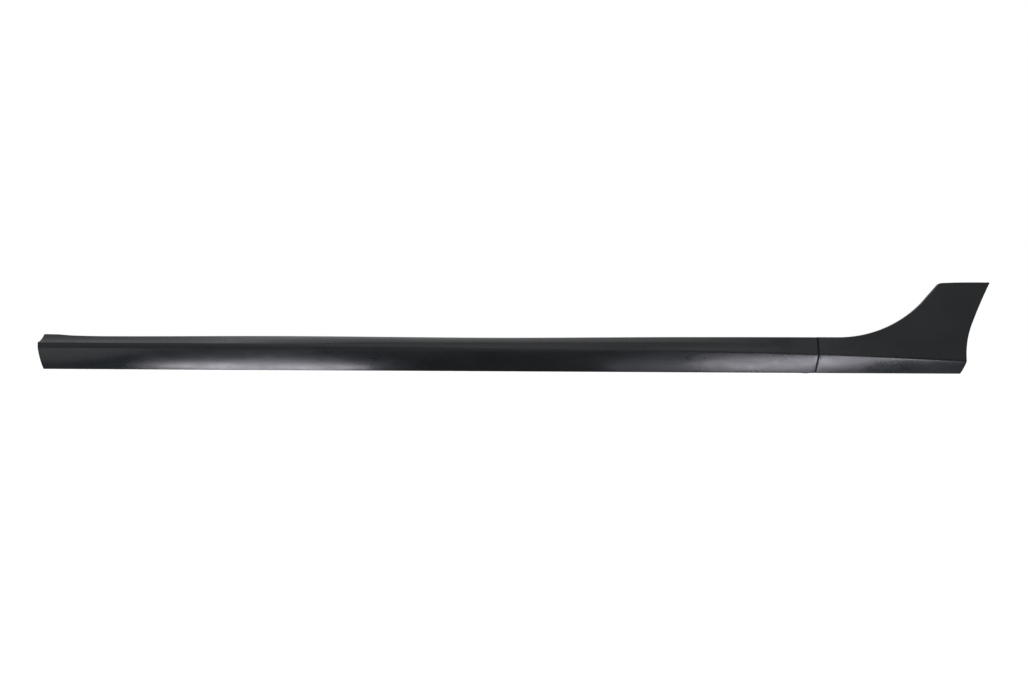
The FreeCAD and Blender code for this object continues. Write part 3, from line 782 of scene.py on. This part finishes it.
def bumped(nodes, links, shader, layers):
    """Bumps laid on one another, each a height with its strength and distance."""
    below = None
    for height, strength, distance in layers:
        bump = nodes.new("ShaderNodeBump")
        bump.inputs["Strength"].default_value = strength
        bump.inputs["Distance"].default_value = distance
        links.new(height, bump.inputs["Height"])
        if below is not None:
            links.new(below, bump.inputs["Normal"])
        below = bump.outputs["Normal"]
    links.new(below, shader.inputs["Normal"])


def tinted(nodes, links, shader, source, dark, light):
    """Base colour that wanders between two tones."""
    ramp = nodes.new("ShaderNodeMix")
    ramp.data_type = "RGBA"
    ramp.inputs[6].default_value = (*dark, 1)
    ramp.inputs[7].default_value = (*light, 1)
    links.new(source, ramp.inputs["Factor"])
    links.new(ramp.outputs[2], shader.inputs["Base Color"])


plastic, nodes, links, shader, place = made_material("black_moulded_plastic",
                                                      (0.015, 0.017, 0.018), 0.4)
shader.inputs["IOR"].default_value = 1.46
grain = noise(nodes, links, place, 1500, 2)
flow = noise(nodes, links, place, 9, 3, (1, 2, 2))
rubs = noise(nodes, links, place, 60, 3, (0.8, 1, 1))
clouds = nodes.new("ShaderNodeMath")
clouds.operation = "MULTIPLY_ADD"
links.new(rubs, clouds.inputs[0])
clouds.inputs[1].default_value = 0.6
links.new(flow, clouds.inputs[2])
axes = nodes.new("ShaderNodeSeparateXYZ")
links.new(place.outputs["Object"], axes.inputs["Vector"])
in_seam = nodes.new("ShaderNodeMath")
in_seam.operation = "COMPARE"
links.new(axes.outputs["X"], in_seam.inputs[0])
in_seam.inputs[1].default_value = seam_at
in_seam.inputs[2].default_value = seam_gap / 2
gloss = nodes.new("ShaderNodeMix")
links.new(in_seam.outputs[0], gloss.inputs["Factor"])
links.new(ranged(nodes, links, clouds.outputs[0], 0.58, 1.02, 0.25, 0.40), gloss.inputs["A"])
gloss.inputs["B"].default_value = 0.95
links.new(gloss.outputs["Result"], shader.inputs["Roughness"])
tinted(nodes, links, shader, ranged(nodes, links, flow, 0.35, 0.65, 0, 1),
       (0.0110, 0.0142, 0.0168), (0.0150, 0.0182, 0.0212))
bumped(nodes, links, shader, [(flow, 0.10, 0.0010), (grain, 0.10, 0.0002)])
for piece in (sill_moulding, rear_moulding):
    piece.data.materials.clear()
    piece.data.materials.append(plastic)


# The rubber strip pushed over the inner edge of the sill moulding's return. It is extruded
# soft black rubber with a U-shaped grip and a thin lip that seals against the body.
strip_start = front_end + 0.033
strip_end = sill_end - wall


def strip_section(x):
    """The strip's closed section at a place along the car."""
    edge = top_edge(x)
    corner = edge + Vector((return_width, -return_fall))
    away = (corner - edge).normalized()
    over = Vector((-away[1], away[0]))
    shape = [(-0.0070, 0.0002), (-0.0070, 0.0010), (-0.0066, 0.0014), (-0.0030, 0.0014), (0.0002, 0.0014),
             (0.0012, 0.0019), (0.0030, 0.0036), (0.0038, 0.0038), (0.0036, 0.0031), (0.0020, 0.0013),
             (0.0014, 0.0002), (0.0014, -0.0032), (0.0014, -0.0040), (0.0010, -0.0044), (-0.0030, -0.0044),
             (-0.0066, -0.0044), (-0.0070, -0.0040), (-0.0070, -0.0032), (-0.0040, -0.0032),
             (0.0002, -0.0032), (0.0002, -0.0015), (0.0002, 0.0002), (-0.0035, 0.0002)]
    points = [placed(x, corner + away * s + over * h) for s, h in shape]
    return points + points[:1]


top_strip = bent_sheet("top_strip", [strip_section(x) for x in spread(strip_start, strip_end, 0.010)])
top_strip.select_set(True)
bpy.context.view_layer.objects.active = top_strip
bpy.ops.object.mode_set(mode="EDIT")
bpy.ops.mesh.select_all(action="SELECT")
bpy.ops.mesh.remove_doubles(threshold=0.00001)
bpy.ops.mesh.select_all(action="DESELECT")
bpy.ops.mesh.select_mode(type="EDGE")
bpy.ops.mesh.select_non_manifold(extend=False, use_wire=False, use_boundary=True,
                                 use_multi_face=False, use_non_contiguous=False, use_verts=False)
bpy.ops.mesh.fill_holes(sides=0)
bpy.ops.mesh.select_all(action="SELECT")
bpy.ops.mesh.normals_make_consistent(inside=False)
bpy.ops.object.mode_set(mode="OBJECT")
top_strip.select_set(False)
smoothed(top_strip, 40)
rubber, nodes, links, shader, place = made_material("strip_rubber", (0.018, 0.018, 0.018), 0.62)
fine = noise(nodes, links, place, 900, 3)
dust = noise(nodes, links, place, 30, 4, (0.3, 1, 1))
links.new(ranged(nodes, links, dust, 0.3, 0.7, 0.55, 0.72), shader.inputs["Roughness"])
bumped(nodes, links, shader, [(fine, 0.15, 0.0002)])
tinted(nodes, links, shader, ranged(nodes, links, dust, 0.3, 0.7, 0, 1),
       (0.014, 0.014, 0.014), (0.024, 0.024, 0.025))
top_strip.data.materials.append(rubber)
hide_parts("top_edge_strip")
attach(top_strip, "root")


# The push-in clips, moulded in natural nylon. Each slides into a tower by its square foot and
# neck; a round dished collar presses the seal, and the arrow-shaped prong has two springy
# wings that snap into a square hole in the body.
clip_foot = 0.014
foot_thickness = 0.0016
collar_thickness = 0.0014
prong_length = 0.017
prong_width = 0.0096
seal_thickness = 0.0026
seal_side = 0.015


def clip_piece(x, z, face):
    """One clip, built along the inboard axis at its place."""
    foot = face - tower_plate - clip_clearance
    collar = face + clip_clearance
    prong = collar + collar_thickness
    shoulder = prong + seal_thickness + clip_clearance
    half = clip_foot / 2
    neck = clip_neck / 2
    pieces = [slab("foot", (x - half, foot - foot_thickness, z - half), (x + half, foot, z + half), 0.0004),
              slab("neck", (x - neck, foot - 0.0002, z - neck), (x + neck, prong, z + neck), 0.0003)]
    dish = [(neck * 0.6, collar + 0.0006), (0.0058, collar + 0.0003), (0.0069, collar),
            (0.0070, collar + 0.0005), (0.0060, collar + 0.0010), (neck * 0.6, prong)]
    bpy.ops.mesh.primitive_circle_add(vertices=len(dish), radius=1, fill_type="NOTHING")
    ring = bpy.context.object
    for corner, (radius, inboard) in zip(ring.data.vertices, dish):
        corner.co = placed(x + radius, (inboard, z))
    bpy.ops.object.mode_set(mode="EDIT")
    bpy.ops.mesh.select_all(action="SELECT")
    bpy.ops.mesh.spin(steps=32, angle=2 * math.pi, center=placed(x, (collar, z)), axis=(0, 1, 0))
    bpy.ops.mesh.select_all(action="SELECT")
    bpy.ops.mesh.remove_doubles(threshold=0.00001)
    bpy.ops.mesh.normals_make_consistent(inside=False)
    bpy.ops.object.mode_set(mode="OBJECT")
    ring.select_set(False)
    pieces.append(ring)
    tip = prong + prong_length
    wide = prong_width / 2
    outline = [(-neck, prong - 0.0002), (-neck, shoulder), (-wide, shoulder), (-wide, shoulder + 0.002),
               (-0.0016, tip - 0.0012), (-0.0010, tip), (0.0010, tip), (0.0016, tip - 0.0012),
               (wide, shoulder + 0.002), (wide, shoulder), (neck, shoulder), (neck, prong - 0.0002)]
    arrow = plate("arrow", [placed(x + along, (inboard, z - neck)) for along, inboard in outline],
                  (0, 0, clip_neck))
    cuts = []
    for side in (-1, 1):
        window = [(0.0009, shoulder - 0.0012), (0.0028, shoulder - 0.0012), (0.0034, shoulder + 0.0022),
                  (0.0014, tip - 0.0042), (0.0009, tip - 0.0042)]
        cuts.append(plate("window", [placed(x + side * along, (inboard, z - neck - 0.001))
                                     for along, inboard in window], (0, 0, clip_neck + 0.002)))
    window = joined("window", cuts)
    finished(arrow, [("BOOLEAN", {"object": window, "operation": "DIFFERENCE", "solver": "EXACT"}),
                     eased(0.0003)])
    bpy.data.objects.remove(window, do_unlink=True)
    return joined("clip", pieces + [arrow])


nylon, nodes, links, shader, place = made_material("natural_nylon", (0.62, 0.60, 0.54), 0.38)
shader.inputs["Subsurface Weight"].default_value = 0.25
shader.inputs["Subsurface Radius"].default_value = (0.004, 0.003, 0.002)
shader.inputs["Subsurface Scale"].default_value = 0.5
haze = noise(nodes, links, place, 220, 4)
links.new(ranged(nodes, links, haze, 0.3, 0.7, 0.32, 0.46), shader.inputs["Roughness"])
tinted(nodes, links, shader, ranged(nodes, links, haze, 0.3, 0.7, 0, 1),
       (0.58, 0.555, 0.49), (0.66, 0.64, 0.58))
bumped(nodes, links, shader, [(haze, 0.08, 0.0003)])
sill_places = [(x, clip_height, tower_face) for x in clip_row]
arch_places = [(x, z, fin_tower_face) for x, z in fin_clips]
for name, node, row in (("sill_clips_piece", "sill_clips", sill_places),
                        ("arch_clips_piece", "arch_clips", arch_places)):
    clips = joined(name, [clip_piece(*spot) for spot in row])
    smoothed(clips, 35)
    clips.data.materials.clear()
    clips.data.materials.append(nylon)
    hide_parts(node)
    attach(clips, "root")


# The seals on the clips: squares cut from a sheet of dark closed-cell foam rubber, with a
# square hole for the prong, rounded a little at the edges.
def seal_piece(x, z, face):
    """One foam square with its hole."""
    start = face + clip_clearance + collar_thickness
    half = seal_side / 2
    hole = clip_neck / 2 + clip_clearance
    pad = slab("pad", (x - half, start, z - half), (x + half, start + seal_thickness, z + half), 0)
    cut = slab("cut", (x - hole, start - spare, z - hole),
               (x + hole, start + seal_thickness + spare, z + hole), 0)
    finished(pad, [("BOOLEAN", {"object": cut, "operation": "DIFFERENCE", "solver": "EXACT"}),
                   eased(0.0005, 3)])
    bpy.data.objects.remove(cut, do_unlink=True)
    return pad


foam, nodes, links, shader, place = made_material("foam_rubber", (0.05, 0.05, 0.052), 0.9)
cells = nodes.new("ShaderNodeTexVoronoi")
cells.inputs["Scale"].default_value = 1600
links.new(place.outputs["Object"], cells.inputs["Vector"])
soft = noise(nodes, links, place, 300, 3)
tinted(nodes, links, shader, ranged(nodes, links, soft, 0.3, 0.7, 0, 1),
       (0.038, 0.038, 0.04), (0.062, 0.062, 0.064))
bumped(nodes, links, shader, [(cells.outputs["Distance"], 0.5, 0.0004)])
seals = joined("clip_seals_piece", [seal_piece(*spot) for spot in sill_places + arch_places])
smoothed(seals, 50)
seals.data.materials.append(foam)
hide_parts("clip_seals")
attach(seals, "root")


# The two splice screws: zinc-plated tapping screws with a low domed head and a cross
# recess, driven up through the sill moulding's flange into the bosses on the tongue.
head_radius = 0.0046
head_height = 0.0013
core_length = 0.0118
thread_pitch = 0.0014
turn_steps = 20


def screw_piece(place):
    """One screw: domed head below with a cross in it, core, wound thread and a blunt tip."""
    bpy.ops.mesh.primitive_cylinder_add(vertices=48, radius=head_radius, depth=head_height,
                                        location=place - Vector((0, 0, head_height / 2)))
    head = bpy.context.object
    bpy.ops.object.transform_apply(location=True, rotation=True, scale=True)
    head.select_set(False)
    bpy.ops.object.select_all(action="DESELECT")
    finished(head, [eased(0.0006, 4)])
    arms = [slab("arm", (place[0] - long, place[1] + nose_out - wide, -0.002),
                 (place[0] + long, place[1] + nose_out + wide, -0.0005), 0)
            for long, wide in ((0.0019, 0.0004), (0.0004, 0.0019))]
    cross = joined("cross", arms)
    finished(head, [("BOOLEAN", {"object": cross, "operation": "DIFFERENCE", "solver": "EXACT",
                                 "use_self": True})])
    bpy.data.objects.remove(cross, do_unlink=True)
    bpy.ops.mesh.primitive_cone_add(vertices=32, radius1=0.0016, radius2=0.0013, depth=core_length,
                                    location=place + Vector((0, 0, 0.0058)))
    core = bpy.context.object
    bpy.ops.object.transform_apply(location=True, rotation=True, scale=True)
    core.select_set(False)
    finished(core, [eased(0.0003)])
    ridge = [(0.0014, 0.0001), (0.0021, 0.0005), (0.0021, 0.0006), (0.0014, 0.0010)]
    bpy.ops.mesh.primitive_circle_add(vertices=4, radius=1, fill_type="NGON")
    thread = bpy.context.object
    for corner, (radius, rise) in zip(thread.data.vertices, ridge):
        corner.co = place + Vector((radius, 0, rise))
    bpy.ops.object.mode_set(mode="EDIT")
    bpy.ops.mesh.select_all(action="SELECT")
    turns = 7
    for turn in range(turns * turn_steps):
        bpy.ops.mesh.extrude_region_move(
            TRANSFORM_OT_translate={"value": (0, 0, thread_pitch / turn_steps)})
        bpy.ops.transform.rotate(value=2 * math.pi / turn_steps, orient_axis="Z",
                                 center_override=place)
    bpy.ops.mesh.select_all(action="SELECT")
    bpy.ops.mesh.normals_make_consistent(inside=False)
    bpy.ops.object.mode_set(mode="OBJECT")
    thread.select_set(False)
    return joined("screw", [head, core, thread])


zinc, nodes, links, shader, place = made_material("zinc_plate", (0.62, 0.63, 0.65), 0.3)
shader.inputs["Metallic"].default_value = 1.0
bright = noise(nodes, links, place, 400, 4)
links.new(ranged(nodes, links, bright, 0.3, 0.7, 0.24, 0.42), shader.inputs["Roughness"])
tinted(nodes, links, shader, ranged(nodes, links, bright, 0.3, 0.7, 0, 1),
       (0.55, 0.56, 0.585), (0.68, 0.685, 0.69))
bumped(nodes, links, shader, [(bright, 0.06, 0.0002)])
screws = joined("splice_screws_piece", [screw_piece(spot) for spot in screw_row])
smoothed(screws, 35)
screws.data.materials.clear()
screws.data.materials.append(zinc)
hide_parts("splice_screws")
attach(screws, "root")


# The spring nuts on the arch lip: a strip of 0.8 mm spring steel folded over the lip's edge,
# phosphated black, with a drawn collar round the hole for the liner's screw.
nut_sheet = 0.0008
nut_clearance = 0.00025
nut_width = 0.012
nut_leg = 0.014


def nut_piece(z):
    """One spring nut, bent round the arch lip and turned square to it."""
    middle, normal = liner_hole(z)
    along = Vector((-normal[2], 0, normal[0]))
    half = wall / 2 + nut_clearance + nut_sheet
    back = arch_lip - liner_hole_in + 0.002 + nut_sheet
    path = [(half, -nut_leg / 2), (half, back - 0.0012), (half - 0.0004, back - 0.0004),
            (half - 0.0012, back), (-half + 0.0012, back), (-half + 0.0004, back - 0.0004),
            (-half, back - 0.0012), (-half, -nut_leg / 2)]
    rows = []
    for side in (-1, 1):
        rows.append([middle + normal * out + Vector((0, inboard, 0)) + along * side * nut_width / 2
                     for out, inboard in path])
    sheet = bent_sheet("sheet", rows)
    finished(sheet, [thickened(nut_sheet), eased(0.00015, 1)])
    drilled(sheet, [(middle, normal, screw_radius, drill_length)])
    bpy.ops.mesh.primitive_torus_add(major_segments=28, minor_segments=8, major_radius=0.0026,
                                     minor_radius=0.0004, location=middle - normal * (half - 0.0002),
                                     rotation=normal.to_track_quat("Z", "Y").to_euler())
    collar = bpy.context.object
    bpy.ops.object.transform_apply(location=True, rotation=True, scale=True)
    collar.select_set(False)
    return joined("nut", [sheet, collar])


steel, nodes, links, shader, place = made_material("phosphated_steel", (0.05, 0.05, 0.055), 0.5)
shader.inputs["Metallic"].default_value = 0.6
mottle = noise(nodes, links, place, 500, 4)
links.new(ranged(nodes, links, mottle, 0.3, 0.7, 0.42, 0.6), shader.inputs["Roughness"])
tinted(nodes, links, shader, ranged(nodes, links, mottle, 0.3, 0.7, 0, 1),
       (0.035, 0.035, 0.038), (0.07, 0.07, 0.076))
bumped(nodes, links, shader, [(mottle, 0.1, 0.0002)])
nuts = joined("arch_spring_nuts_piece", [nut_piece(z) for z in liner_holes])
smoothed(nuts, 35)
nuts.data.materials.clear()
nuts.data.materials.append(steel)
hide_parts("arch_spring_nuts")
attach(nuts, "root")


# The floor, the lamps and the camera. The piece is held up above a pale floor and seen from
# its outer side. A wide lamp overhead lights the shoulder, a soft one in front the faces,
# and small low ones draw the highlights along the undercut band.
floor_drop = 0.30
lamp_height = -0.27
violet = (0.93, 0.91, 1)
bpy.ops.mesh.primitive_plane_add(size=40, location=(0, 0, -floor_drop))
floor = bpy.context.object
floor.name = "floor"
bpy.ops.object.transform_apply(location=True, rotation=True, scale=True)
floor.select_set(False)
paint = bpy.data.materials.new("pale_floor")
paint.use_nodes = True
nodes = paint.node_tree.nodes
links = paint.node_tree.links
floor_shader = nodes["Principled BSDF"]
floor_shader.inputs["Base Color"].default_value = (0.16, 0.16, 0.16, 1)
floor_shader.inputs["Roughness"].default_value = 1.0
seen = nodes.new("ShaderNodeLightPath")
glow = nodes.new("ShaderNodeMath")
glow.operation = "MULTIPLY"
links.new(seen.outputs["Is Camera Ray"], glow.inputs[0])
glow.inputs[1].default_value = 0.95
white = nodes.new("ShaderNodeEmission")
links.new(glow.outputs[0], white.inputs["Strength"])
both = nodes.new("ShaderNodeAddShader")
links.new(floor_shader.outputs[0], both.inputs[0])
links.new(white.outputs[0], both.inputs[1])
links.new(both.outputs[0], nodes["Material Output"].inputs["Surface"])
floor.data.materials.append(paint)

world = bpy.data.worlds.new("studio")
bpy.context.scene.world = world
world.use_nodes = True
nodes = world.node_tree.nodes
links = world.node_tree.links
background = nodes["Background"]
background.inputs["Color"].default_value = (1, 1, 1, 1)
seen = nodes.new("ShaderNodeLightPath")
level = nodes.new("ShaderNodeMapRange")
level.inputs["To Min"].default_value = 0.41
level.inputs["To Max"].default_value = 1.0
links.new(seen.outputs["Is Camera Ray"], level.inputs["Value"])
links.new(level.outputs["Result"], background.inputs["Strength"])


def lamp(name, place, aim, width, depth, power, colour):
    """A soft rectangular lamp."""
    light = bpy.data.lights.new(name, "AREA")
    light.shape = "RECTANGLE"
    light.size = width
    light.size_y = depth
    light.energy = power
    light.color = colour
    holder = bpy.data.objects.new(name, light)
    bpy.context.collection.objects.link(holder)
    holder.location = place
    holder.rotation_euler = (Vector(aim) - Vector(place)).to_track_quat("-Z", "Y").to_euler()
    holder.visible_camera = False
    return holder


lamp("overhead", (0.70, 0.6, 2.2), (0.70, 0.6, 0), 3.8, 4.4, 49, (1, 1, 1))
lamp("front_fill", (-0.6, -3.2, 1.4), (0, 0, 0.05), 3.0, 1.8, 11, (0.90, 0.97, 1))
lamp("front_low", (-0.8, -1.2, -0.28), (-0.8, -1.2, 1), 3.0, 1.9, 6.0, (0.95, 0.98, 1))
low_front = lamp("low_front", (-0.58, 0.002, lamp_height), (-0.58, -0.05, 0.02), 0.54, 0.10, 1.5, violet)
low_left = lamp("low_left", (-1.12, -0.30, lamp_height), (-1.12, -0.30, 1), 0.5, 0.5, 0.42,
                (0.95, 0.97, 1))
low_middle = lamp("low_middle", (0.36, -0.05, lamp_height), (0.36, -0.05, 0.02), 0.24, 0.10, 0.11,
                  (0.92, 0.91, 1))
low_rear = lamp("low_rear", (0.65, -0.062, lamp_height), (0.65, -0.05, 0.04), 0.40, 0.10, 0.90, violet)
low_end = lamp("low_end", (0.90, -0.098, lamp_height), (0.90, -0.06, 0.04), 0.34, 0.07, 0.50, violet)
for tapered in (low_front, low_left, low_middle, low_rear, low_end):
    tapered.data.shape = "ELLIPSE"

bpy.ops.object.camera_add(location=(0.0252, -3.171, 0.0642),
                          rotation=(math.radians(90), math.radians(-0.309), 0))
camera = bpy.context.object
camera.data.sensor_width = 36
camera.data.lens = 50.5
camera.data.clip_start = 0.05
bpy.context.scene.camera = camera
bpy.context.scene.view_settings.view_transform = "Standard"
